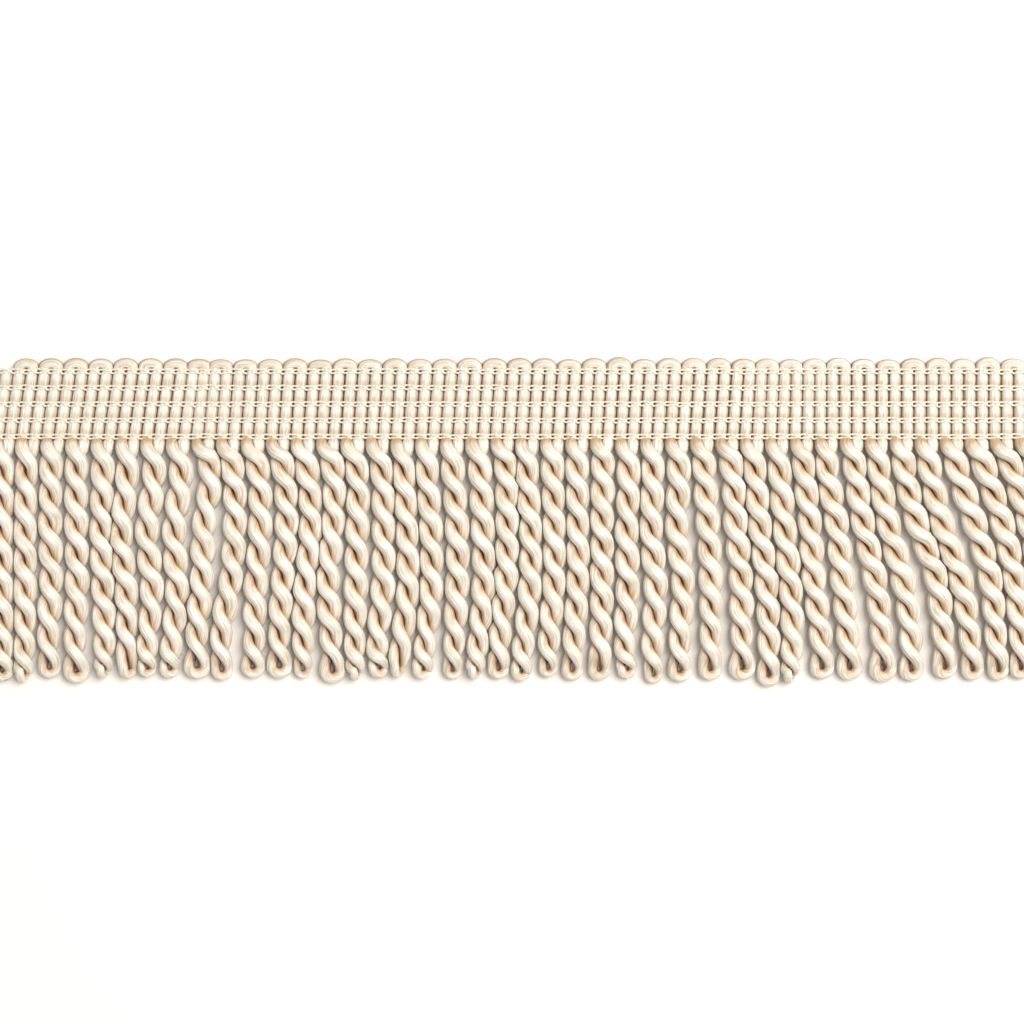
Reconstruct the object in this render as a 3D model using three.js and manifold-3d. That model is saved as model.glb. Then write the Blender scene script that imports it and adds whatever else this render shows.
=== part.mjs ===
// A cut length of bullion fringe, a trimming of twisted rayon cords hanging from a ribbed heading.
// It lies face up on a flat surface: +X runs along the trim, +Y from the cords up to the heading's
// scalloped edge, and +Z out of the face. The origin is in the middle of the heading's back.
// Units are millimetres.
import * as THREE from "three";
import { mergeVertices } from "three/addons/utils/BufferGeometryUtils.js";
import Module from "manifold-3d";

// Driving dimensions of the whole trim
const CORD_PITCH = 5.84;
const PIECE_GAP = 0.3;

// The heading: two yarn ribs for each cord, tied down by rows of chain stitch
const HEADING_TOP = 9.4;
const HEADING_BOTTOM = -6.4;
const TOP_CHAIN = 7.0;
const CHAIN_SPACING = 3.81;
const HEADING_CHAINS = 4;
const RIB_HEIGHT = 2.6;
const TIED_RIB_HEIGHT = 2.1;
const VALLEY_HEIGHT = 1.3;
const TIED_VALLEY_HEIGHT = 1.1;
const EDGE_HEIGHT = 1.6;
const RIBS_PER_CORD = 2;
const COLUMNS_PER_CORD = 2 * RIBS_PER_CORD;
// How far the scalloped edge stands above the top chain, by column: the dip between two loops of
// yarn, a rib, the top of a loop, and the next rib
const SCALLOP_RISE = [0.8, 1.9, HEADING_TOP - TOP_CHAIN, 1.9];

// The root band: the heading's lowest chain row, where every cord is tied in
const BAND_TOP = HEADING_BOTTOM - PIECE_GAP;
const BAND_BOTTOM = -9.35;
const BAND_HEIGHT = 2.4;

// A cord: two plies twisted together, drawn as a flat bar of four sides that turns as they do
const CORD_HALF_WIDTH = 2.2;
const CORD_HALF_THICKNESS = 1.15;
const STEPS_PER_HALF_TURN = 3;
const TIP_SCALE = 0.6;
const CORD_REST_HEIGHT = Math.hypot(CORD_HALF_WIDTH, CORD_HALF_THICKNESS);
const BAR_CORNERS = [[1, 1], [-1, 1], [-1, -1], [1, -1]].map(([a, b]) => new THREE.Vector2(a, b));

// How far the heading's top edge has slipped along the trim, at stations counted in cords
const SLIP = [
  { cord: 0, slip: 2.7 },
  { cord: 7.5, slip: 2.7 },
  { cord: 9, slip: 1.4 },
  { cord: 30, slip: 1.3 },
  { cord: 33.5, slip: 0 },
  { cord: 42, slip: 0 },
];

// How each cord lies, from the left end: how far its middle and its tip have swung to the right of
// its root, its length below the band, and the half turns of its twist
const CORDS = [
  { swing: 0.0, lean: -0.2, drop: 56.3, halfTurns: 8.0 },
  { swing: -0.2, lean: -1.0, drop: 56.6, halfTurns: 8.4 },
  { swing: -0.4, lean: -0.8, drop: 55.6, halfTurns: 8.0 },
  { swing: 0.0, lean: -0.2, drop: 56.8, halfTurns: 8.0 },
  { swing: 0.0, lean: 0.1, drop: 55.6, halfTurns: 8.4 },
  { swing: -0.5, lean: -0.3, drop: 55.6, halfTurns: 7.8 },
  { swing: -0.6, lean: -0.9, drop: 55.4, halfTurns: 7.5 },
  { swing: -0.5, lean: -1.6, drop: 55.6, halfTurns: 7.5 },
  { swing: 0.5, lean: -1.4, drop: 55.9, halfTurns: 8.0 },
  { swing: 1.8, lean: -1.2, drop: 56.1, halfTurns: 8.0 },
  { swing: 2.1, lean: 0.2, drop: 55.6, halfTurns: 8.0 },
  { swing: 1.9, lean: 0.4, drop: 55.6, halfTurns: 8.0 },
  { swing: 1.6, lean: 0.3, drop: 55.6, halfTurns: 8.1 },
  { swing: 1.4, lean: 1.3, drop: 56.8, halfTurns: 8.0 },
  { swing: 1.3, lean: 0.9, drop: 56.1, halfTurns: 8.2 },
  { swing: 1.4, lean: 0.2, drop: 55.6, halfTurns: 7.5 },
  { swing: 1.1, lean: -0.7, drop: 55.4, halfTurns: 7.8 },
  { swing: 0.9, lean: -1.4, drop: 55.9, halfTurns: 8.6 },
  { swing: 1.4, lean: -0.1, drop: 55.9, halfTurns: 8.1 },
  { swing: 1.7, lean: -0.5, drop: 55.9, halfTurns: 8.4 },
  { swing: 1.3, lean: -0.9, drop: 55.9, halfTurns: 8.0 },
  { swing: 1.2, lean: -1.3, drop: 56.3, halfTurns: 7.5 },
  { swing: 0.8, lean: -0.9, drop: 55.4, halfTurns: 8.1 },
  { swing: 0.4, lean: -1.1, drop: 56.1, halfTurns: 8.0 },
  { swing: 0.2, lean: -0.7, drop: 56.1, halfTurns: 7.9 },
  { swing: -0.1, lean: 0.2, drop: 55.9, halfTurns: 7.6 },
  { swing: 0.3, lean: 0.5, drop: 56.8, halfTurns: 8.2 },
  { swing: 0.9, lean: 0.7, drop: 56.6, halfTurns: 8.0 },
  { swing: 1.6, lean: 1.9, drop: 56.1, halfTurns: 8.0 },
  { swing: 2.8, lean: 3.7, drop: 56.1, halfTurns: 8.0 },
  { swing: 2.6, lean: 4.0, drop: 57.5, halfTurns: 8.1 },
  { swing: 2.5, lean: 3.3, drop: 56.8, halfTurns: 8.4 },
  { swing: 2.5, lean: 4.9, drop: 55.9, halfTurns: 8.0 },
  { swing: 3.2, lean: 5.6, drop: 56.1, halfTurns: 8.0 },
  { swing: 4.0, lean: 7.5, drop: 56.6, halfTurns: 8.0 },
  { swing: 4.7, lean: 8.2, drop: 56.3, halfTurns: 8.0 },
  { swing: 5.8, lean: 10.3, drop: 55.9, halfTurns: 8.0 },
  { swing: 6.5, lean: 11.0, drop: 56.1, halfTurns: 8.0 },
  { swing: 7.2, lean: 11.2, drop: 56.1, halfTurns: 8.0 },
  { swing: 7.4, lean: 10.7, drop: 55.9, halfTurns: 8.0 },
  { swing: 7.3, lean: 10.4, drop: 56.1, halfTurns: 8.0 },
  { swing: 7.2, lean: 10.0, drop: 56.1, halfTurns: 8.0 },
];

const TRIM_LENGTH = CORDS.length * CORD_PITCH;
const LEFT_END = -TRIM_LENGTH / 2;

const wasm = await Module();
wasm.setup();

// A closed surface through a row of rings that all have the same number of points. The flat shape
// of a ring, in its own two coordinates, fills in the two ends.
function loft(rings, flatShape) {
  const around = rings[0].length;
  const points = rings.flat();
  const indices = [];
  for (let ring = 0; ring + 1 < rings.length; ring++) {
    for (let side = 0; side < around; side++) {
      const next = (side + 1) % around;
      const [a, b] = [ring * around + side, ring * around + next];
      const [c, d] = [a + around, b + around];
      indices.push(a, b, d, a, d, c);
    }
  }
  const lastRing = (rings.length - 1) * around;
  for (const [a, b, c] of THREE.ShapeUtils.triangulateShape(flatShape, [])) {
    indices.push(c, b, a, lastRing + a, lastRing + b, lastRing + c);
  }
  return new THREE.BufferGeometry().setFromPoints(points).setIndex(indices);
}

function toSolid(geometry) {
  const bare = geometry.clone();
  bare.deleteAttribute("normal");
  bare.deleteAttribute("uv");
  const merged = mergeVertices(bare, 1e-4);
  return new wasm.Manifold(
    new wasm.Mesh({
      numProp: 3,
      vertProperties: new Float32Array(merged.attributes.position.array),
      triVerts: new Uint32Array(merged.index.array),
    }),
  );
}

function toGeometry(solid) {
  const mesh = solid.getMesh();
  const geometry = new THREE.BufferGeometry();
  geometry.setAttribute("position", new THREE.BufferAttribute(mesh.vertProperties, mesh.numProp));
  geometry.setIndex(new THREE.BufferAttribute(mesh.triVerts, 1));
  geometry.computeVertexNormals();
  return geometry;
}

// The slip of the top edge at a place counted in cords from the left end
function slipAt(cord) {
  const after = Math.max(1, SLIP.findIndex((station) => station.cord >= cord));
  const [from, to] = [SLIP[after - 1], SLIP[after]];
  const share = (cord - from.cord) / (to.cord - from.cord);
  return THREE.MathUtils.lerp(from.slip, to.slip, share);
}

// The heading, as one ring across the trim for every valley and crest of its ribs
function makeHeading() {
  const columns = CORDS.length * COLUMNS_PER_CORD;
  const rings = [];
  let section = [];
  for (let column = 0; column <= columns; column++) {
    // A column in the middle of a cord is the dip between the cord's own two ribs
    const fromDip = (column + COLUMNS_PER_CORD / 2) % COLUMNS_PER_CORD;
    const onRib = column % 2 === 1;
    const edge = TOP_CHAIN + SCALLOP_RISE[fromDip];
    section = [new THREE.Vector2(HEADING_BOTTOM, 0), new THREE.Vector2(edge, 0)];
    section.push(new THREE.Vector2(edge, EDGE_HEIGHT));
    for (let chain = 0; chain < HEADING_CHAINS; chain++) {
      const tied = TOP_CHAIN - chain * CHAIN_SPACING;
      const free = tied - CHAIN_SPACING / 2;
      section.push(new THREE.Vector2(tied, onRib ? TIED_RIB_HEIGHT : TIED_VALLEY_HEIGHT));
      section.push(new THREE.Vector2(free, onRib ? RIB_HEIGHT : VALLEY_HEIGHT));
    }
    section.push(new THREE.Vector2(HEADING_BOTTOM, onRib ? EDGE_HEIGHT : TIED_VALLEY_HEIGHT));

    const cord = column / COLUMNS_PER_CORD;
    const x = LEFT_END + cord * CORD_PITCH;
    const lean = slipAt(cord) / (HEADING_TOP - HEADING_BOTTOM);
    rings.push(section.map((p) => new THREE.Vector3(x + lean * (p.x - HEADING_BOTTOM), p.x, p.y)));
  }
  return loft(rings, section);
}

// The four corners of a cord's bar at one place, with its first ply turned through an angle from
// the left side over the front
function cordRing(centre, direction, angle, scale) {
  const right = new THREE.Vector3(-direction.y, direction.x, 0).normalize();
  const out = new THREE.Vector3().crossVectors(direction, right);
  const across = right.clone().multiplyScalar(-Math.cos(angle));
  across.addScaledVector(out, Math.sin(angle));
  const through = right.clone().multiplyScalar(-Math.sin(angle));
  through.addScaledVector(out, -Math.cos(angle));
  return BAR_CORNERS.map((corner) =>
    centre
      .clone()
      .addScaledVector(across, corner.x * scale * CORD_HALF_WIDTH)
      .addScaledVector(through, corner.y * scale * CORD_HALF_THICKNESS),
  );
}

// One cord: it swings sideways on a smooth curve, lies level, and turns from root to tip
function makeCord({ swing, lean, drop, halfTurns }, index) {
  const root = LEFT_END + (index + 0.5) * CORD_PITCH;
  const linear = 4 * swing - lean;
  const square = 2 * lean - 4 * swing;
  const steps = Math.round(halfTurns * STEPS_PER_HALF_TURN);
  const tied = new THREE.Vector3(root, (BAND_TOP + BAND_BOTTOM) / 2, BAND_HEIGHT / 2);
  const rings = [cordRing(tied, new THREE.Vector3(0, -1, 0), 0, 1)];
  for (let step = 0; step <= steps; step++) {
    const share = step / steps;
    const centre = new THREE.Vector3(
      root + linear * share + square * share * share,
      BAND_BOTTOM - drop * share,
      step === 0 ? BAND_HEIGHT / 2 : CORD_REST_HEIGHT,
    );
    const direction = new THREE.Vector3(linear + 2 * square * share, -drop, 0).normalize();
    rings.push(cordRing(centre, direction, share * halfTurns * Math.PI, step === steps ? TIP_SCALE : 1));
  }
  return loft(rings, BAR_CORNERS);
}

// The cords, fused at their roots into the band that ties them side by side
function makeSkirt() {
  const band = new THREE.BoxGeometry(TRIM_LENGTH, BAND_TOP - BAND_BOTTOM, BAND_HEIGHT);
  band.translate(0, (BAND_TOP + BAND_BOTTOM) / 2, BAND_HEIGHT / 2);
  let skirt = toSolid(band);
  CORDS.forEach((cord, index) => {
    skirt = skirt.add(toSolid(makeCord(cord, index)));
  });
  return toGeometry(skirt);
}

const headingYarn = new THREE.MeshStandardMaterial({ color: "#eee1cb", roughness: 0.55, metalness: 0 });
const cordYarn = new THREE.MeshStandardMaterial({ color: "#e6d3b6", roughness: 0.45, metalness: 0 });

const trim = new THREE.Group();
const heading = new THREE.Mesh(makeHeading(), headingYarn);
heading.name = "heading";
const skirt = new THREE.Mesh(makeSkirt(), cordYarn);
skirt.name = "bullion_skirt";
trim.add(heading, skirt);

export default trim;
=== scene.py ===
import bpy
import numpy as np
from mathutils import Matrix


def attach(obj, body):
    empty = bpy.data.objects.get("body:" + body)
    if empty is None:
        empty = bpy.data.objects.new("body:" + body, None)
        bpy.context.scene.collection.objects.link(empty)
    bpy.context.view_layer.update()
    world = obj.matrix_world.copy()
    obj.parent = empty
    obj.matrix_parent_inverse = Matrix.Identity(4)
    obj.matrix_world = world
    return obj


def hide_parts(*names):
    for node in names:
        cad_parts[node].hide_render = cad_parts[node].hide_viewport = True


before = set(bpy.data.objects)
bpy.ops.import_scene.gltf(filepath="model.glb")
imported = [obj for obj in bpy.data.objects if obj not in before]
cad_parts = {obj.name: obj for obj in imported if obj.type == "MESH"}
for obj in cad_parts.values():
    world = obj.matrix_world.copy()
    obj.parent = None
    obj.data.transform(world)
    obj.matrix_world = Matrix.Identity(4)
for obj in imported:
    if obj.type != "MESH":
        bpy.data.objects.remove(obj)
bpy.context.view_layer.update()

# Yarn of the heading
# The trim is worked from one thick yarn of rayon filaments. In the heading the yarn runs up and down
# in ribs, two for each cord, and turns over at the top in loops that make the scalloped edge. Rows of
# chain stitch tie the ribs side by side.
MM = 0.001
CORD_PITCH = 5.84 * MM
CORD_COUNT = 42
LEFT_END = -CORD_COUNT * CORD_PITCH / 2
RIB_PITCH = CORD_PITCH / 2
HEADING_TOP = 9.4 * MM
TOP_CHAIN = 6.7 * MM
CHAIN_SPACING = 3.81 * MM
CHAIN_ROWS = 5
LOWEST_CHAIN = TOP_CHAIN - (CHAIN_ROWS - 1) * CHAIN_SPACING
RIB_HALF_WIDTH = 1.27 * MM
RIB_HALF_HEIGHT = 1.15 * MM
RIB_SQUARENESS = 0.8
RIB_FOOT = 0.6 * MM  # how far the ribs go on below the lowest chain
RIB_BUNDLES = 4
RIB_GROOVE = 0.05  # of the rib's size, the depth between two bundles of filaments
RIB_CONTACT = 0.72  # of a half turn from the rib's top, where it meets the next rib and its painted shade is full
RIB_SIDES = 20
RIB_STEP = 0.42 * MM
# A rib spreads where it lies on the surface, from a ledge at these angles from its top, in radians
RIB_BASE_SPREAD = 1.24
RIGHT_LEDGE = 1.3
LEFT_LEDGE = 1.75
TIED_SHARE = 0.86  # of the rib's height that is left under a chain
SCALLOP_BASE = 7.35 * MM
SCALLOP_RISE = 1.0 * MM
SCALLOP_UNEVEN = 0.14 * MM
SCALLOP_REACH = 1.72 * MM
SCALLOP_YARN = 1.1  # of the rib's width
SCALLOP_TIED = 0.7  # of how much a chain ties a rib down
SCALLOP_ROOM = 0.74  # of the way from the yarn's middle to the scallop's
SCALLOP_POINTS = 13
# How far the top edge has slipped along the trim, by place counted in cords
SLIP_AT = (0, 7.5, 9, 30, 33.5, 42)
SLIP = np.array((2.7, 2.7, 1.4, 1.3, 0, 0)) * MM

rng = np.random.default_rng(7)


def linear(hex_colour):
    """An sRGB hex colour as linear RGBA."""
    srgb = np.array([int(hex_colour[i : i + 2], 16) / 255 for i in (1, 3, 5)])
    rgb = np.where(srgb <= 0.04045, srgb / 12.92, ((srgb + 0.055) / 1.055) ** 2.4)
    return (*rgb, 1.0)


def add_node(tree, kind, inputs, **settings):
    """Adds a shader node. An input is a value, or another node's output, which is linked to it."""
    node = tree.nodes.new(kind)
    for name, value in settings.items():
        setattr(node, name, value)
    for name, value in inputs.items():
        if isinstance(value, bpy.types.NodeSocket):
            tree.links.new(value, node.inputs[name])
        else:
            node.inputs[name].default_value = value
    return node


def unit(vectors):
    return vectors / np.linalg.norm(vectors, axis=-1, keepdims=True)


def smooth(value, start, end):
    """0 before start and 1 after end, with an even change between them."""
    share = np.clip((value - start) / (end - start), 0, 1)
    return share * share * (3 - 2 * share)


def sweep(path, inward, out, side):
    """Rings of points along a path, from each ring's own distances outward and to the side."""
    tangent = unit(np.gradient(path, axis=0))
    inward = unit(inward - (inward * tangent).sum(1, keepdims=True) * tangent)
    sideways = np.cross(tangent, inward)
    return path[:, None] - out[:, :, None] * inward[:, None] + side[:, :, None] * sideways[:, None]


def strand_mesh(name, strands, around, twist, material):
    """One object of closed strands, each given as its rings and, for each point, how much painted shade
    it gets, which is kept as a point attribute. The UV map holds millimetres around and along
    each strand, and turns with the fibres, by twist for each millimetre."""
    points, faces, uvs, painted_shade = [], [], [], []
    first = 0
    for rings, shade_amount in strands:
        count, sides = rings.shape[:2]
        index = first + np.arange(count * sides).reshape(count, sides)
        beside = np.roll(index, -1, axis=1)
        quads = np.stack([index[:-1], index[1:], beside[1:], beside[:-1]], axis=-1)
        faces += quads.reshape(-1, 4).tolist()
        faces += [index[0].tolist(), index[-1, ::-1].tolist()]
        steps = np.linalg.norm(np.diff(rings.mean(axis=1), axis=0), axis=1)
        along = np.concatenate([[0], np.cumsum(steps)]) / MM + rng.uniform(0, 900)
        turn = np.arange(sides + 1) / sides * around / MM
        u, v = np.meshgrid(turn, along)
        grid = np.stack([u + twist * v, v], axis=-1)
        corners = [grid[:-1, :-1], grid[1:, :-1], grid[1:, 1:], grid[:-1, 1:]]
        uvs.append(np.stack(corners, axis=2).reshape(-1, 2))
        uvs += [grid[0, :-1], grid[-1, -2::-1]]
        points.append(rings.reshape(-1, 3))
        painted_shade.append((shade_amount * np.ones((count, sides))).ravel())
        first += count * sides
    mesh = bpy.data.meshes.new(name)
    mesh.from_pydata(np.concatenate(points).tolist(), [], faces)
    mesh.uv_layers.new(name="fibre").uv.foreach_set("vector", np.concatenate(uvs).ravel())
    mesh.attributes.new("painted_shade", "FLOAT", "POINT").data.foreach_set("value", np.concatenate(painted_shade))
    mesh.shade_smooth()
    mesh.materials.append(material)
    piece = bpy.data.objects.new(name, mesh)
    bpy.context.scene.collection.objects.link(piece)
    return piece


# Rayon filament yarn, spun and loosely twisted, undyed ivory. Its filaments lie along the yarn, so it
# has a satin lustre that runs around the yarn, and fine lighter and darker lines along it.
YARN_AROUND = 9.2 * MM
FILAMENT_LINE = 0.4  # mm, drawn several filaments wide so that it shows
FILAMENT_RUN = 7.0  # mm
FILAMENT_RIDGE = 0.3 * MM


def rayon_yarn(name, dark_line, middle, bright_line, full_shade_colour, turned):
    """The yarn, with its three line colours, its colour of painted shade where it meets the next yarn,
    and the turn of its lustre with its fibres' slant."""
    material = bpy.data.materials.new(name)
    material.use_nodes = True
    tree = material.node_tree
    shader = tree.nodes["Principled BSDF"]
    fibre = add_node(tree, "ShaderNodeUVMap", {}, uv_map="fibre")
    lines_at = add_node(
        tree,
        "ShaderNodeMapping",
        {"Vector": fibre.outputs["UV"], "Scale": (1 / FILAMENT_LINE, 1 / FILAMENT_RUN, 1)},
    )
    lines = add_node(
        tree,
        "ShaderNodeTexNoise",
        {"Vector": lines_at.outputs["Vector"], "Scale": 1.0, "Detail": 4.0, "Roughness": 0.7},
    )
    line_colour = add_node(tree, "ShaderNodeValToRGB", {"Fac": lines.outputs["Fac"]})
    ramp = line_colour.color_ramp
    ramp.elements[0].position = 0.38
    ramp.elements[0].color = linear(dark_line)
    ramp.elements[1].position = 0.62
    ramp.elements[1].color = linear(bright_line)
    ramp.elements.new(0.5).color = linear(middle)
    # Painted shade: towards the inside of the twist, where light is passed on from yarn to yarn, the
    # colour gets tan, then brown
    painted_shade = add_node(tree, "ShaderNodeAttribute", {}, attribute_name="painted_shade")
    shade = add_node(tree, "ShaderNodeValToRGB", {"Fac": painted_shade.outputs["Fac"]})
    shade.color_ramp.elements[0].position = 0.48
    shade.color_ramp.elements[0].color = linear("#FFFFFF")
    shade.color_ramp.elements[1].position = 0.93
    shade.color_ramp.elements[1].color = linear(full_shade_colour)
    shade.color_ramp.elements.new(0.7).color = linear("#E6CBA8")
    shade.color_ramp.elements.new(0.85).color = linear("#CCA278")
    # Inputs 6 and 7 and output 2 are the two colours that are multiplied and their result
    colour = add_node(
        tree,
        "ShaderNodeMix",
        {"Factor": 1.0, 6: line_colour.outputs["Color"], 7: shade.outputs["Color"]},
        data_type="RGBA",
        blend_type="MULTIPLY",
    )
    ridges = add_node(
        tree,
        "ShaderNodeBump",
        {"Height": lines.outputs["Fac"], "Strength": 1.0, "Distance": FILAMENT_RIDGE},
    )
    around_yarn = add_node(tree, "ShaderNodeTangent", {}, direction_type="UV_MAP", uv_map="fibre")
    tree.links.new(colour.outputs[2], shader.inputs["Base Color"])
    tree.links.new(ridges.outputs["Normal"], shader.inputs["Normal"])
    tree.links.new(around_yarn.outputs["Tangent"], shader.inputs["Tangent"])
    shader.inputs["Roughness"].default_value = 0.4
    # Rayon is about 1.53. Many filaments side by side mirror more than one smooth face, so the value is
    # raised until the lustre is as strong as in the photo
    shader.inputs["IOR"].default_value = 1.75
    shader.inputs["Specular IOR Level"].default_value = 1.0
    shader.inputs["Anisotropic"].default_value = 0.9
    shader.inputs["Anisotropic Rotation"].default_value = turned
    return material


# The same yarn as in the cords, painted darker here to offset the brighter light that the flat ribs
# catch, and with a lighter painted shade where the ribs meet
heading_yarn = rayon_yarn("rayon_yarn_in_ribs_painted_darker", "#BCA888", "#D2C6B2", "#E4DBCC", "#B98E64", 0)


def slipped(x, y):
    """x at a height of the heading, where its upper part has slipped along the trim."""
    slip = np.interp((x - LEFT_END) / CORD_PITCH, SLIP_AT, SLIP)
    return x + slip * (y - LOWEST_CHAIN) / (HEADING_TOP - LOWEST_CHAIN)


def tie(y):
    """1 under a row of chain stitch, and 0 halfway between two rows."""
    return 0.5 + 0.5 * np.cos(2 * np.pi * (y - TOP_CHAIN) / CHAIN_SPACING)


def rib_rings(path, room):
    """Rings around a rib, narrower and lower where the stitches tie it down, and with no more than
    the given room to the inside of the scallop, and how much painted shade their points get, more away
    from the rib's top."""
    angle = np.linspace(-np.pi, np.pi, RIB_SIDES, endpoint=False)
    leg = path[:, 1] < SCALLOP_BASE
    tied = np.where(leg, tie(path[:, 1]), SCALLOP_TIED)
    scale = 1 - (1 - TIED_SHARE) * tied
    bundles = 1 - RIB_GROOVE * np.abs(np.sin(RIB_BUNDLES / 2 * angle + rng.uniform(0, 3)))
    squareness = np.where(leg, RIB_SQUARENESS, 1)[:, None]
    upright = np.sign(np.cos(angle)) * np.abs(np.cos(angle)) ** squareness
    sideways = np.sign(np.sin(angle)) * np.abs(np.sin(angle)) ** squareness
    out = scale[:, None] * RIB_HALF_HEIGHT * upright * bundles
    right = np.where(np.gradient(path[:, 1:2], axis=0) < 0, 1, -1)
    ledge = np.where(leg[:, None] & (right * angle > 0), RIGHT_LEDGE, LEFT_LEDGE)
    spread = np.where(np.abs(angle) > ledge, RIB_BASE_SPREAD, 1)
    broad = np.where(leg, 1, SCALLOP_YARN) * np.sqrt(scale)
    side = broad[:, None] * RIB_HALF_WIDTH * sideways * bundles * spread
    side = np.maximum(side, -room[:, None])
    path[:, 2] = scale * RIB_HALF_HEIGHT
    down = np.tile((0.0, 0.0, -1.0), (len(path), 1))
    shade_amount = np.minimum(1, np.abs(angle) / np.pi / RIB_CONTACT)
    return sweep(path, down, out, side), shade_amount


ribs = []
heights = np.arange(LOWEST_CHAIN - RIB_FOOT, SCALLOP_BASE, RIB_STEP)
leg_room = np.full(len(heights), RIB_PITCH)
turn_angle = np.linspace(np.pi, 0, SCALLOP_POINTS + 2)[1:-1]
for boundary in range(CORD_COUNT + 1):
    middle = LEFT_END + boundary * CORD_PITCH
    left_leg = slipped(middle - RIB_PITCH / 2, heights)
    right_leg = slipped(middle + RIB_PITCH / 2, heights)
    up = np.stack([left_leg, heights, 0 * heights], axis=1)
    down = np.stack([right_leg, heights, 0 * heights], axis=1)[::-1]
    rise = SCALLOP_RISE + rng.normal(0, SCALLOP_UNEVEN)
    arc = np.stack(
        [
            slipped(middle, SCALLOP_BASE) + SCALLOP_REACH * np.cos(turn_angle),
            SCALLOP_BASE + rise * np.sin(turn_angle),
            0 * turn_angle,
        ],
        axis=1,
    )
    to_middle = np.hypot(SCALLOP_REACH * np.cos(turn_angle), rise * np.sin(turn_angle))
    arc_room = SCALLOP_ROOM * to_middle
    if boundary == 0:
        ribs.append(rib_rings(down, leg_room))
    elif boundary == CORD_COUNT:
        ribs.append(rib_rings(up, leg_room))
    else:
        room = np.concatenate([leg_room, arc_room, leg_room])
        ribs.append(rib_rings(np.concatenate([up, arc, down]), room))

heading_ribs = strand_mesh("heading_ribs", ribs, YARN_AROUND, 0, heading_yarn)
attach(heading_ribs, "root")
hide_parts("heading")

# Chain stitches
# Rows of white cotton sewing thread that tie the ribs side by side. Each loop passes over one rib, and
# the next loop comes up through its end in the gap between two ribs.
THREAD_RADIUS = 0.27 * MM
THREAD_AROUND = 1.26 * MM  # one turn around the thread, as it is counted in the UV map
THREAD_SINK = 0.1  # of the thread's radius, into the rib
THREAD_SIDES = 6
STITCH_HALF_WIDTH = 0.62 * MM
STITCH_WIDTHS = (0.88, 1.1)  # of the usual width, the narrowest and the widest
STITCH_UNEVEN = 0.06 * MM
STITCH_START = 0.3 * MM
STITCH_END = 0.62 * MM
STITCH_NECK = 0.25  # of its width, where it comes up through the loop before
STITCH_SQUARENESS = 0.75
STITCH_POINTS = 22
GAP_DEPTH = 0.25 * MM

# Mercerised cotton sewing thread, bleached white, with a dull sheen and the slant of its own plies
white_thread = bpy.data.materials.new("mercerised_cotton_thread")
white_thread.use_nodes = True
tree = white_thread.node_tree
shader = tree.nodes["Principled BSDF"]
PLY_SLANT = 1.0  # mm from one ply of the thread to the next, drawn coarse so that it shows
SLANT_AROUND = 0.5  # of that, in one turn around the thread
ONE_BAND = 0.628  # the scale at which a diagonal wave has one band for each unit
fibre = add_node(tree, "ShaderNodeUVMap", {}, uv_map="fibre")
plies_at = add_node(
    tree,
    "ShaderNodeMapping",
    {
        "Vector": fibre.outputs["UV"],
        "Scale": (SLANT_AROUND * MM / THREAD_AROUND, 1 / PLY_SLANT, 1),
    },
)
plies = add_node(
    tree,
    "ShaderNodeTexWave",
    {"Vector": plies_at.outputs["Vector"], "Scale": ONE_BAND, "Distortion": 1.0},
    bands_direction="DIAGONAL",
)
plies_colour = add_node(tree, "ShaderNodeValToRGB", {"Fac": plies.outputs["Fac"]})
plies_colour.color_ramp.elements[0].color = linear("#CFC3AE")
plies_colour.color_ramp.elements[1].color = linear("#E2D9C9")
plies_bump = add_node(
    tree,
    "ShaderNodeBump",
    {"Height": plies.outputs["Fac"], "Strength": 0.4, "Distance": 0.06 * MM},
)
tree.links.new(plies_colour.outputs["Color"], shader.inputs["Base Color"])
tree.links.new(plies_bump.outputs["Normal"], shader.inputs["Normal"])
shader.inputs["Roughness"].default_value = 0.5
shader.inputs["IOR"].default_value = 1.53

stitches = []
stitch_angle = np.linspace(0, 2 * np.pi, STITCH_POINTS)
share = (1 - np.cos(stitch_angle)) / 2
narrowing = STITCH_NECK + (1 - STITCH_NECK) * share
outline = np.sign(np.sin(stitch_angle)) * np.abs(np.sin(stitch_angle)) ** STITCH_SQUARENESS
place = STITCH_START + share * (RIB_PITCH + STITCH_END - STITCH_START)
sag = np.cos(np.pi * place / RIB_PITCH) ** 2
tied_top = 2 * TIED_SHARE * RIB_HALF_HEIGHT
thread_height = tied_top - THREAD_SINK * THREAD_RADIUS - GAP_DEPTH * sag
thread_angle = np.linspace(-np.pi, np.pi, THREAD_SIDES, endpoint=False)
thread_out = np.tile(THREAD_RADIUS * np.cos(thread_angle), (STITCH_POINTS, 1))
thread_side = np.tile(THREAD_RADIUS * np.sin(thread_angle), (STITCH_POINTS, 1))
under_thread = np.tile((0.0, 0.0, -1.0), (STITCH_POINTS, 1))
for row in range(CHAIN_ROWS):
    row_height = TOP_CHAIN - row * CHAIN_SPACING
    for rib in range(CORD_COUNT * 2):
        start = LEFT_END + rib * RIB_PITCH
        width = STITCH_HALF_WIDTH * rng.uniform(*STITCH_WIDTHS)
        height = row_height + width * outline * narrowing + rng.normal(0, STITCH_UNEVEN)
        along_row = slipped(start, row_height) + RIB_PITCH - place
        path = np.stack([along_row, height, thread_height], axis=1)
        stitches.append((sweep(path, under_thread, thread_out, thread_side), 0))

heading_chains = strand_mesh("heading_chains", stitches, THREAD_AROUND, 0, white_thread)
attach(heading_chains, "root")

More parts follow.
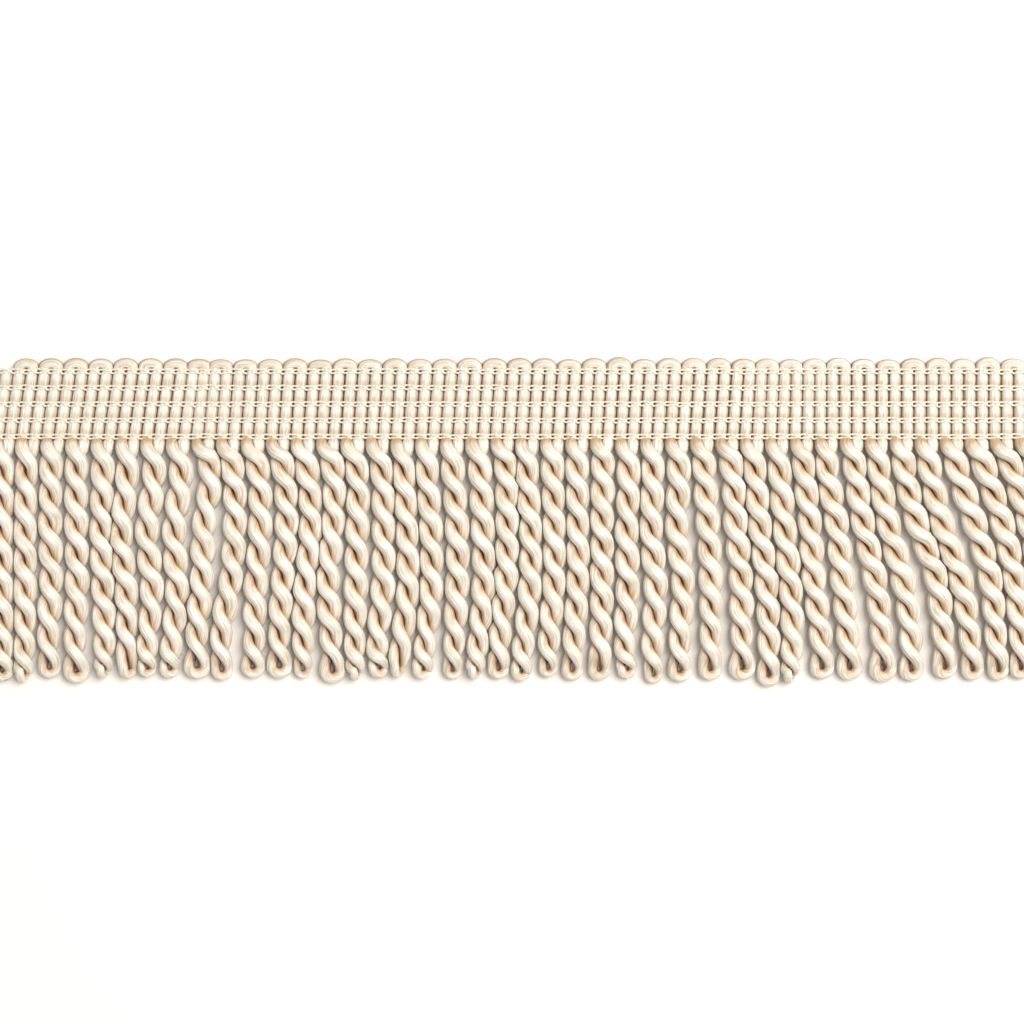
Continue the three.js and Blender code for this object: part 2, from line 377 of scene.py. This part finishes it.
# Bullion cords
# Each cord is one length of the heading's yarn, twisted hard and then doubled, so that its two halves
# turn about each other and end in a small loop at the tip. The cords hang side by side from the
# lowest row of chain stitch, here swung and pressed against each other as they lie.
CORDS_TOP = -9.35 * MM
HELIX_RADIUS = 1.38 * MM
PLY_RADIUS = 1.6 * MM
PLY_BUNDLES = 6
PLY_GROOVE = 0.07  # of the ply's radius, the depth between two bundles of filaments
PLY_GAP = 0.02 * MM  # left between the two halves of a cord
SWELLS = ((0.045, 17 * MM), (0.035, 7.1 * MM))  # of the ply's radius, and the length that each takes
FIBRE_TWIST = 0.55  # mm around the yarn for each mm along it
DWELL = 0.06  # of a half turn, how much the halves linger where they lie side by side
LYING_SQUASH = 0.88
STEPS_PER_HALF_TURN = 12
SPARE_STEPS = 4
PLY_SIDES = 30
CORDS_PER_PIECE = 11

# Down to these drops below the heading, a cord comes out of the lowest chain
ROOT_START = -0.15 * MM
ROOT_TURN = 0.4 * MM  # where it starts to turn
ROOT_END = 0.9 * MM  # where it has its full girth
RISE_END = 2.4 * MM  # where it has its full height
TIED_PLY_RADIUS = 1.15 * MM

# Above the middle of the loop at its tip, a cord gets thinner, then opens and sinks to the surface
TAPER_START = 16 * MM
TAPER_END = 3 * MM
TIP_TAPER = 0.1
LOOSENED_LENGTH = 3.5 * MM
SINK_LENGTH = 3 * MM
LOOP_SINK = 0.9 * MM
LOOP_OPENNESS = 0.12  # of a quarter of the loop's width, which leaves a hole in it
TIP_RIM = 0.45 * MM
TIP_STEPS = 16

# Where the halves of a cord touch, counted in half turns from a ply's outer side, and the painted shade
# between them is full. It is nearer on the side that turns in under the other half
PLY_CONTACT = 0.86
CONTACT_LEAN = 0.09
TOUCH_LENGTH = 5 * MM  # below the heading, where the halves come to touch fully and their painted shade is full
LOOP_LIGHT = 0.08  # less painted shade, in the open loop
ROOT_SHADE = 0.72
ROOT_SHADE_START = 1.2 * MM
ROOT_SHADE_END = 3.4 * MM

# A slit shows wherever the halves lie side by side, once every half turn. The first is lower by a share
# of what the seventh is lower than usual
FIRST_SLIT = 6.1 * MM
USUAL_SEVENTH_SLIT = 45.4 * MM
SLIT_SHARE = 0.43
LATE_SLIT = 0.35  # of a half turn, by which the last slit may be drawn up to stay above the loop
LEAST_TURN = 0.05  # of a half turn, from the seventh slit to the last
LOOP_REST = 0.5 * MM  # the least from the last slit to the middle of the loop
TURN_BLEND = 1.2 * MM  # to either side, over which a change in the twist is evened out
BLEND_STEPS = 7

# Cords that meet are pressed flat along a plane between them
PRESS_SOFTNESS = 0.4 * MM
PRESS_GAP = 0.03 * MM
WIDENING_START = 7 * MM  # above the tip
WIDENING_END = 3 * MM
WIDTH_PAST_TIP = 0.3 * MM

# How far the loops at the tips have turned out of the front, in half turns, on the cords that it shows
USUAL_TIP_TURN = 0.1
TIP_TURNS = {
    1: 0.72, 4: 0.76, 5: 0.34, 6: 0.42, 7: 0.38, 14: 0.8, 15: 0.4, 16: 0.42, 17: 0.45, 19: 0.7,
    21: 0.38, 25: 0.42, 31: 0.75,
}

# How each cord lies, from the left, in millimetres. How far it has swung to the right of its root at
# its first, third, fifth and seventh slit and at its tip, then how far below the heading its seventh
# slit and its tip are, and the width of the loop at the tip.
CORDS = np.array((
    (0.2, 0.0, 0.0, 0.2, -0.2, 48.6, 56.1, 5.5),
    (-0.2, -0.5, -0.5, -0.7, -1.2, 48.4, 56.3, 5.0),
    (-0.2, -0.5, -0.2, -0.9, -0.7, 45.6, 55.4, 5.5),
    (-0.2, -0.2, 0.0, -0.5, -0.2, 46.3, 56.6, 6.5),
    (0.2, -0.2, 0.2, 0.5, 0.0, 47.9, 55.4, 4.6),
    (0.0, -1.4, -0.2, 0.0, 0.2, 49.6, 55.4, 5.2),
    (0.5, -1.2, 0.0, -1.2, -1.4, 48.4, 55.2, 4.8),
    (0.9, -0.7, 0.0, -1.4, -2.1, 48.6, 55.4, 5.0),
    (1.9, 0.5, 0.0, -1.2, -1.2, 45.1, 55.6, 6.7),
    (1.2, 1.9, 0.9, -1.4, -1.2, 45.8, 55.9, 5.3),
    (1.4, 1.9, 0.9, 0.5, 0.0, 46.8, 55.4, 5.8),
    (1.4, 2.3, 1.4, 0.5, 0.5, 45.4, 55.4, 6.3),
    (1.2, 2.1, 0.7, 0.2, 0.2, 47.2, 55.4, 4.4),
    (1.4, 1.4, 0.2, 0.9, 1.4, 45.8, 56.6, 6.5),
    (1.2, 1.2, 0.9, 0.7, 0.7, 47.7, 55.9, 4.6),
    (1.2, 1.6, 1.4, 0.0, 0.6, 48.6, 55.4, 5.2),
    (0.5, 1.2, 1.4, -0.5, -1.2, 49.6, 55.2, 4.8),
    (0.0, 0.9, 0.9, -0.5, -1.4, 48.6, 55.6, 5.2),
    (0.2, 1.2, 1.2, 0.5, 0.0, 47.5, 55.6, 4.6),
    (0.7, 1.4, 1.6, 0.2, -0.7, 47.9, 55.6, 4.6),
    (0.9, 1.2, 0.9, -0.5, -0.9, 45.6, 55.6, 5.3),
    (0.0, 0.9, 0.7, -0.9, -1.6, 48.6, 56.1, 5.0),
    (0.2, 0.5, 0.5, -0.7, -0.9, 47.2, 55.2, 4.6),
    (0.0, 0.2, 0.2, -0.7, -1.2, 46.3, 55.9, 5.3),
    (0.2, 0.0, 0.0, -0.2, -0.7, 44.4, 55.9, 5.5),
    (0.5, 0.0, 0.2, -0.5, 0.2, 48.6, 55.6, 5.0),
    (0.2, -0.2, 0.9, 0.2, 0.5, 47.9, 56.6, 4.4),
    (0.5, 0.0, 1.4, 0.7, 0.7, 46.8, 56.3, 5.9),
    (0.5, 1.4, 2.1, 2.1, 1.9, 45.4, 55.9, 5.7),
    (1.2, 2.1, 3.3, 3.5, 3.7, 45.4, 55.9, 6.5),
    (0.7, 1.9, 3.5, 4.0, 4.0, 47.5, 57.3, 5.7),
    (0.7, 1.9, 3.3, 3.5, 2.8, 49.1, 56.6, 5.0),
    (0.5, 1.9, 2.8, 4.4, 4.9, 45.8, 55.6, 5.9),
    (0.0, 2.3, 3.7, 4.9, 5.6, 45.8, 55.9, 6.3),
    (0.7, 2.6, 5.4, 7.0, 7.5, 45.4, 56.3, 6.8),
    (0.5, 2.8, 6.3, 8.0, 8.2, 46.8, 56.1, 5.9),
    (0.5, 3.5, 8.0, 9.6, 10.3, 45.1, 55.6, 5.9),
    (0.7, 3.7, 8.0, 10.1, 11.0, 46.3, 55.9, 5.5),
    (1.2, 5.4, 9.1, 10.3, 11.2, 45.8, 55.9, 5.2),
    (1.9, 6.1, 8.9, 10.1, 10.5, 46.1, 55.6, 5.6),
    (2.3, 6.3, 9.0, 10.0, 10.4, 45.8, 55.9, 5.7),
    (2.2, 6.1, 8.8, 9.8, 10.0, 46.1, 55.9, 5.7),
)) * MM
SWINGS = CORDS[:, :5]
SEVENTH_SLITS = CORDS[:, 5]
TIP_DROPS = CORDS[:, 6]
LOOP_WIDTHS = CORDS[:, 7]


def slits(cord):
    """How far below the heading a cord's first and seventh slit are."""
    seventh = SEVENTH_SLITS[cord]
    return FIRST_SLIT + SLIT_SHARE * (seventh - USUAL_SEVENTH_SLIT), seventh


def loop_drop(cord):
    """How far below the heading the middle of the loop at a cord's tip is."""
    return TIP_DROPS[cord] + TIP_RIM - LOOP_WIDTHS[cord] / 2


def phase_at(cord, drop):
    """How far a cord's first half has turned from the left side over the front, in radians. Below the
    last slit it turns only as far as the loop at the tip has turned out of the front."""
    first, seventh = slits(cord)
    half_turn = (seventh - first) / 6
    end = loop_drop(cord)
    last = np.floor(7 + LATE_SLIT + (end - seventh) / half_turn)
    last_drop = min(seventh + max(last - 7, LEAST_TURN) * half_turn, end - LOOP_REST)
    stations = (ROOT_TURN, first, seventh, last_drop, end)
    tip_turn = last + TIP_TURNS.get(cord, USUAL_TIP_TURN)
    turns = (0, 1, 7, max(last, 7 + LEAST_TURN), tip_turn)
    blend = np.linspace(-TURN_BLEND, TURN_BLEND, BLEND_STEPS)
    even = np.mean([np.interp(drop + shift, stations, turns) for shift in blend], axis=0)
    return np.pi * (even - DWELL * np.sin(2 * np.pi * even))


def axis_x(cord, drop):
    """Where the middle of a cord is at a drop below the heading, on a smooth curve."""
    first, seventh = slits(cord)
    stations = np.array((0, *np.linspace(first, seventh, 4), TIP_DROPS[cord]))
    values = np.array((0, *SWINGS[cord]))
    slopes = np.gradient(values, stations)
    slopes[0] = 0
    at = np.clip(np.searchsorted(stations, drop, side="right") - 1, 0, len(stations) - 2)
    span = stations[at + 1] - stations[at]
    t = np.clip((drop - stations[at]) / span, 0, 1)
    curve = (
        (2 * t**3 - 3 * t**2 + 1) * values[at]
        + (t**3 - 2 * t**2 + t) * span * slopes[at]
        + (3 * t**2 - 2 * t**3) * values[at + 1]
        + (t**3 - t**2) * span * slopes[at + 1]
    )
    return LEFT_END + (cord + 0.5) * CORD_PITCH + curve


def half_width(cord, drop):
    """Half of a cord's width as it is seen from the front."""
    tip = TIP_DROPS[cord]
    widened = smooth(drop, tip - WIDENING_START, tip - WIDENING_END)
    radius = HELIX_RADIUS + (LOOP_WIDTHS[cord] / 4 - HELIX_RADIUS) * widened
    width = radius * np.abs(np.cos(phase_at(cord, drop))) + PLY_RADIUS
    return np.where(drop < tip, width, WIDTH_PAST_TIP)


def press(points, cord):
    """Moves a cord's points in from the planes where it meets the cords beside it."""
    drop = CORDS_TOP - points[..., 1]
    here = axis_x(cord, drop)
    width = half_width(cord, drop)
    soft = PRESS_SOFTNESS
    for beside, sign in ((cord - 1, -1), (cord + 1, 1)):
        if 0 <= beside < CORD_COUNT:
            share = width / (width + half_width(beside, drop))
            room = np.abs(axis_x(beside, drop) - here) * share - PRESS_GAP
            past = np.maximum(0, sign * (points[..., 0] - here) - (room - soft))
            points[..., 0] -= sign * (past - soft * np.tanh(past / soft))
    return points


def cord_rings(cord):
    """Rings around the whole yarn of one cord, down one half, around the tip and up the other, and how
    much painted shade their points get towards the inside of the twist."""
    end = loop_drop(cord)
    root = CORDS_TOP - LOWEST_CHAIN
    steps = int(phase_at(cord, end) / np.pi * STEPS_PER_HALF_TURN) + SPARE_STEPS
    drop = np.linspace(root, end, steps)
    phase = phase_at(cord, drop)
    rise = smooth(drop, ROOT_START, RISE_END)
    root_height = RIB_HALF_HEIGHT / LYING_SQUASH
    rest_height = HELIX_RADIUS + PLY_RADIUS
    height = root_height + (rest_height - root_height) * rise
    height -= LOOP_SINK * abs(np.cos(phase[-1])) * smooth(drop, end - SINK_LENGTH, end)
    axis = np.stack([axis_x(cord, drop), CORDS_TOP - drop, height], axis=1)
    along = unit(np.gradient(axis, axis=0))
    right = unit(np.stack([-along[:, 1], along[:, 0], 0 * drop], axis=1))
    front = np.array((0.0, 0.0, 1.0))
    first_side = -np.cos(phase)[:, None] * right + np.sin(phase)[:, None] * front
    loosened = smooth(drop, end - LOOSENED_LENGTH, end)
    loop_radius = (1 + LOOP_OPENNESS) * LOOP_WIDTHS[cord] / 4
    loop_ply = (1 - LOOP_OPENNESS) * LOOP_WIDTHS[cord] / 4
    rooted = 1 - smooth(drop, ROOT_START, ROOT_END)
    taper = 1 - TIP_TAPER * smooth(drop, end - TAPER_START, end - TAPER_END)
    helix = taper * HELIX_RADIUS
    helix = helix + (loop_radius - helix) * loosened
    helix = helix + (RIB_PITCH / 2 - HELIX_RADIUS) * rooted
    ply = taper * PLY_RADIUS
    ply = ply + (loop_ply - ply) * loosened
    ply = ply + (TIED_PLY_RADIUS - PLY_RADIUS) * rooted
    for swell, length in SWELLS:
        ply = ply * (1 + swell * np.sin(2 * np.pi * drop / length + rng.uniform(0, 6)))

    half_circle = np.linspace(0, np.pi, TIP_STEPS)[1:-1, None]
    outward = np.cos(half_circle) * first_side[-1] + np.sin(half_circle) * along[-1]
    path = np.concatenate(
        [
            axis + helix[:, None] * first_side,
            axis[-1] + loop_radius * outward,
            (axis - helix[:, None] * first_side)[::-1],
        ]
    )
    inward = -np.concatenate([first_side, outward, -first_side[::-1]])
    radius = np.concatenate([ply, np.full(len(outward), loop_ply), ply[::-1]])
    reach = np.concatenate([helix, np.full(len(outward), loop_radius), helix[::-1]])
    path[:, 2] = np.maximum(path[:, 2], radius)
    length = np.concatenate([[0], np.cumsum(np.linalg.norm(np.diff(path, axis=0), axis=1))])

    angle = np.linspace(-np.pi, np.pi, PLY_SIDES, endpoint=False)
    fibre_turn = angle + (length * FIBRE_TWIST / PLY_RADIUS)[:, None]
    bundles = np.abs(np.cos(PLY_BUNDLES / 2 * fibre_turn + rng.uniform(0, 3)))
    section = radius[:, None] * (1 - PLY_GROOVE + PLY_GROOVE * bundles)
    out = np.maximum(section * np.cos(angle), -(reach - PLY_GAP)[:, None])
    side = section * np.sin(angle)
    rings = press(sweep(path, inward, out, side), cord)

    # Painted shade between the halves, growing as they come to touch below the heading, and less in the
    # open loop
    touch = smooth(drop, 0, TOUCH_LENGTH) - LOOP_LIGHT * loosened
    touch = np.concatenate([touch, np.full(len(outward), 1 - LOOP_LIGHT), touch[::-1]])
    # The second half is followed upwards, so its sides are the other way around
    lean = np.concatenate([np.ones(steps), np.linspace(1, -1, len(outward)), -np.ones(steps)])
    contact = PLY_CONTACT - CONTACT_LEAN * lean[:, None] * np.sign(angle)
    shade_amount = touch[:, None] * np.minimum(1, np.abs(angle) / np.pi / contact)
    # Painted shade: the first half starts in the shade of the lowest chain
    root_shade = ROOT_SHADE * (1 - smooth(drop, ROOT_SHADE_START, ROOT_SHADE_END))
    shade_amount[:steps] = np.maximum(shade_amount[:steps], root_shade[:, None])
    return rings * (1, 1, LYING_SQUASH), shade_amount


# The fourth colour is the painted shade, dark brown, in the slits between the halves
cord_yarn = rayon_yarn("rayon_yarn_in_cords", "#C4B090", "#DCD2C0", "#EEE8DE", "#5A3618", 0.42)
for piece_number, first_cord in enumerate(range(0, CORD_COUNT, CORDS_PER_PIECE)):
    cords = range(first_cord, min(first_cord + CORDS_PER_PIECE, CORD_COUNT))
    strands = [cord_rings(cord) for cord in cords]
    name = f"bullion_cords_{piece_number + 1}"
    piece = strand_mesh(name, strands, YARN_AROUND, FIBRE_TWIST, cord_yarn)
    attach(piece, "root")
    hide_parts("bullion_skirt")

# Table
# A plain white surface that the trim lies on, larger than the view.
FLOOR_HALF = 1.5
floor_mesh = bpy.data.meshes.new("floor")
floor_mesh.from_pydata(
    [
        (-FLOOR_HALF, -FLOOR_HALF, 0),
        (FLOOR_HALF, -FLOOR_HALF, 0),
        (FLOOR_HALF, FLOOR_HALF, 0),
        (-FLOOR_HALF, FLOOR_HALF, 0),
    ],
    [],
    [(0, 1, 2, 3)],
)
floor = bpy.data.objects.new("floor", floor_mesh)
bpy.context.scene.collection.objects.link(floor)
# Matt white board, uncoated, which takes soft shadows and mirrors nothing
matt_white = bpy.data.materials.new("matt_white_board")
matt_white.use_nodes = True
board_shader = matt_white.node_tree.nodes["Principled BSDF"]
board_shader.inputs["Base Color"].default_value = linear("#E8E1D9")
board_shader.inputs["Roughness"].default_value = 0.9
floor_mesh.materials.append(matt_white)

# Light
# One large soft light high over the trim, a little to the upper right, and an even white room.
LIGHT_X = 0.8
LIGHT_Y = 0.4
LIGHT_Z = 1.6
key_light = bpy.data.lights.new("softbox", "AREA")
key_light.shape = "SQUARE"
key_light.size = 1.3
key_light.energy = 42
key = bpy.data.objects.new("softbox", key_light)
key.location = (LIGHT_X, LIGHT_Y, LIGHT_Z)
key.rotation_euler = (-np.arctan2(LIGHT_Y, LIGHT_Z), np.arctan2(LIGHT_X, LIGHT_Z), 0)
bpy.context.scene.collection.objects.link(key)
world = bpy.data.worlds.new("white_room")
world.use_nodes = True
white_room = world.node_tree.nodes["Background"]
white_room.inputs["Color"].default_value = linear("#FFFFFF")
white_room.inputs["Strength"].default_value = 0.58
bpy.context.scene.world = world
bpy.context.scene.view_settings.view_transform = "Standard"

# Camera
# It looks straight down on the trim, with the heading at the top of the picture.
VIEW_WIDTH = 239.4 * MM
VIEW_CENTRE = (-0.58 * MM, -26.2 * MM)
VIEW_LEVEL = 2.5 * MM  # above the table, where the view has that width
LENS = 100
SENSOR = 36
camera_data = bpy.data.cameras.new("camera")
camera_data.lens = LENS
camera_data.sensor_width = SENSOR
camera = bpy.data.objects.new("camera", camera_data)
camera.location = (*VIEW_CENTRE, VIEW_LEVEL + VIEW_WIDTH * LENS / SENSOR)
bpy.context.scene.collection.objects.link(camera)
bpy.context.scene.camera = camera
